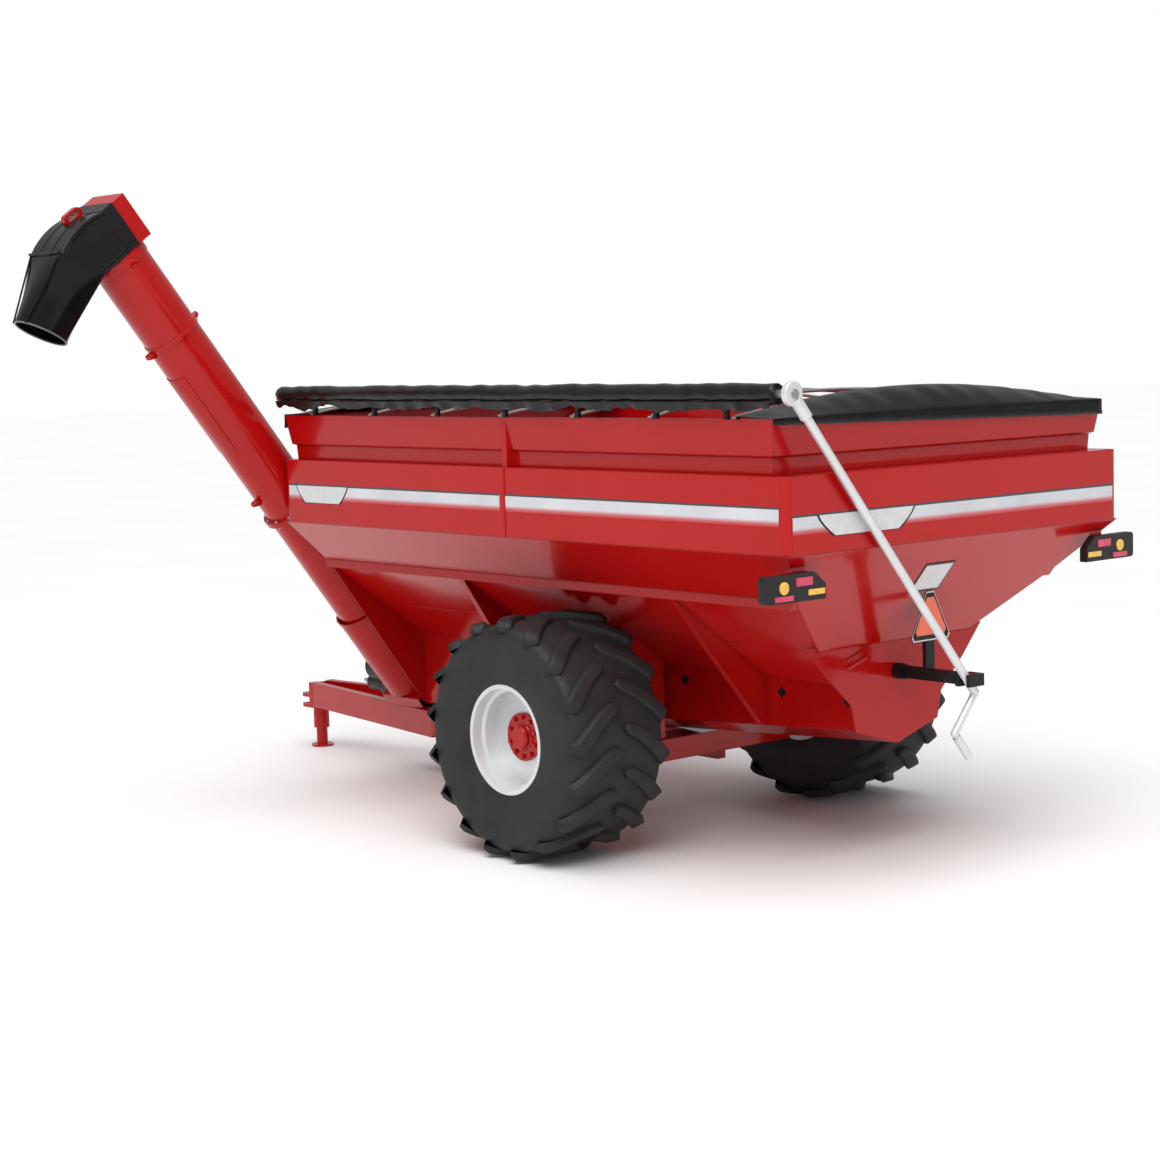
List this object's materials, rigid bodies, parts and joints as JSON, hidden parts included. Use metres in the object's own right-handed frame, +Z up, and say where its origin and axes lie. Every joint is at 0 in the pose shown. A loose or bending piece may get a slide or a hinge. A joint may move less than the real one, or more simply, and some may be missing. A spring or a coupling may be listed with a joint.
{
  "type": "grain cart",
  "caption": "Towed grain cart: sloped-sided tank on a single axle, with a folding corner auger and spout, a rolled tarp with crank, rear lamps and a pin hitch.",
  "frame": {"origin": "centre of the hitch-pin bore, halfway between the two clevis lugs", "axes": "+X rearwards along the cart from hitch to tank, +Y to the cart's right, +Z up along the hitch pin"},
  "size_m": [8.7499, 6.2427, 5.3082],
  "materials": {
    "red_paint": "glossy red paint",
    "silver_paint": "satin silver paint",
    "black_paint": "semi-gloss black paint",
    "black_plastic": "moulded black",
    "tyre_rubber": "matt rubber",
    "tarp_fabric": "coated tarpaulin",
    "bare_steel": "worn steel",
    "amber": "amber lens",
    "red_lens": "red lens",
    "sign_orange": "reflective orange"
  },
  "bodies": {
    "chassis": {"belt_sides": "red_paint", "belt_ends": "red_paint", "corner_posts": "red_paint", "extension_sides": "red_paint", "extension_ends": "red_paint", "side_panels": "red_paint", "slope_sheets": "red_paint", "trough": "red_paint", "front_bulkhead": "red_paint", "rear_wall": "red_paint", "rear_plate": "red_paint", "hopper_ribs": "red_paint", "trough_fittings": "red_paint", "tongue_beams": "red_paint", "frame_rails": "red_paint", "axle_beam": "red_paint", "spindles": "red_paint", "hitch_head": "red_paint", "lower_tube": "red_paint", "boot": "red_paint", "auger_brackets": "red_paint", "gearbox": "black_paint", "pto_guard": "black_plastic", "fold_pin": "bare_steel", "tarp_bows": "bare_steel", "roll_cradles": "black_paint", "tarp_cap_front": "tarp_fabric", "tarp_cap_rear": "tarp_fabric", "latch_plate": "black_paint", "crank_rest": "black_paint", "slow_sign": "black_paint", "slow_sign_face": "sign_orange", "lamp_cases": "black_plastic", "lamp_brackets": "red_paint", "amber_lenses": "amber", "red_lenses": "red_lens"},
    "wheel_left": {"tyre_left": "tyre_rubber", "rim_left": "silver_paint", "hub_left": "red_paint", "wheel_nuts_left": "bare_steel"},
    "wheel_right": {"tyre_right": "tyre_rubber", "rim_right": "silver_paint", "hub_right": "red_paint", "wheel_nuts_right": "bare_steel"},
    "parking_stand": {"stand_leg": "silver_paint"},
    "gate": {"flow_gate": "red_paint"},
    "upper_auger": {"upper_tube": "red_paint", "discharge_head": "red_paint", "hood": "black_plastic", "lifting_eye": "red_paint"},
    "spout_body": {"spout": "black_plastic"},
    "lower_auger_screw": {"lower_screw": "bare_steel"},
    "upper_auger_screw": {"upper_screw": "bare_steel"},
    "floor_auger_screw": {"floor_screw": "bare_steel"},
    "drive_shaft": {"pto_shaft": "bare_steel"},
    "tarp_roller": {"tarp_roll": "tarp_fabric", "roll_tube": "bare_steel"},
    "crank_arm": {"crank_knuckle": "silver_paint"},
    "crank": {"crank_rod": "silver_paint", "crank_grip": "black_plastic"}
  },
  "joints": [
    {"name": "wheel_left_spin", "type": "hinge", "parent": "chassis", "child": "wheel_left", "pos_m": [5.7, -1.65, 0.5], "axis": [0, 1, 0], "continuous": true},
    {"name": "wheel_right_spin", "type": "hinge", "parent": "chassis", "child": "wheel_right", "pos_m": [5.7, 1.65, 0.5], "axis": [0, 1, 0], "continuous": true},
    {"name": "stand_leg_slide", "type": "slide", "parent": "chassis", "child": "parking_stand", "axis": [0, 0, 1], "range_m": [0, 0.15]},
    {"name": "flow_gate_slide", "type": "slide", "parent": "chassis", "child": "gate", "axis": [0, 0, 1], "range_m": [0, 0.3]},
    {"name": "auger_fold", "type": "hinge", "parent": "chassis", "child": "upper_auger", "pos_m": [2.22, -1.31, 2.358], "axis": [-1, 0, 0], "range_deg": [0, 127]},
    {"name": "spout_tilt", "type": "hinge", "parent": "upper_auger", "child": "spout_body", "pos_m": [2.22, -3.88587, 4.37586], "axis": [-1, 0, 0], "range_deg": [0, 25]},
    {"name": "lower_screw_spin", "type": "hinge", "parent": "chassis", "child": "lower_auger_screw", "pos_m": [2.22, -0.3, 0.453], "axis": [0, -0.6, 0.8], "continuous": true},
    {"name": "upper_screw_spin", "type": "hinge", "parent": "upper_auger", "child": "upper_auger_screw", "pos_m": [2.22, -2.4, 3.253], "axis": [0, -0.6, 0.8], "continuous": true},
    {"name": "drive_shaft_spin", "type": "hinge", "parent": "chassis", "child": "drive_shaft", "pos_m": [1.7, -0.29, 0.365], "axis": [1, 0, 0], "continuous": true},
    {"name": "floor_screw_spin", "type": "hinge", "parent": "chassis", "child": "floor_auger_screw", "pos_m": [2.536, 0, 0.35036], "axis": [0.9982, 0, 0.0595], "continuous": true},
    {"name": "crank_swing", "type": "hinge", "parent": "chassis", "child": "crank_arm", "pos_m": [8.63, -1.83, 3.15], "axis": [-1, 0, 0], "range_deg": [0, 55]},
    {"name": "crank_spin", "type": "hinge", "parent": "crank_arm", "child": "crank", "pos_m": [8.63, -1.83, 3.15], "axis": [0, 0.6384, -0.7697], "continuous": true},
    {"name": "roll_spin", "type": "hinge", "parent": "chassis", "child": "tarp_roller", "pos_m": [5.7, -1.83, 3.15], "axis": [1, 0, 0], "continuous": true}
  ],
  "couplings": [
    {"joint": "upper_screw_spin", "follows": "lower_screw_spin", "ratio": 1},
    {"joint": "drive_shaft_spin", "follows": "lower_screw_spin", "ratio": 1.5},
    {"joint": "crank_spin", "follows": "roll_spin", "ratio": 1}
  ]
}
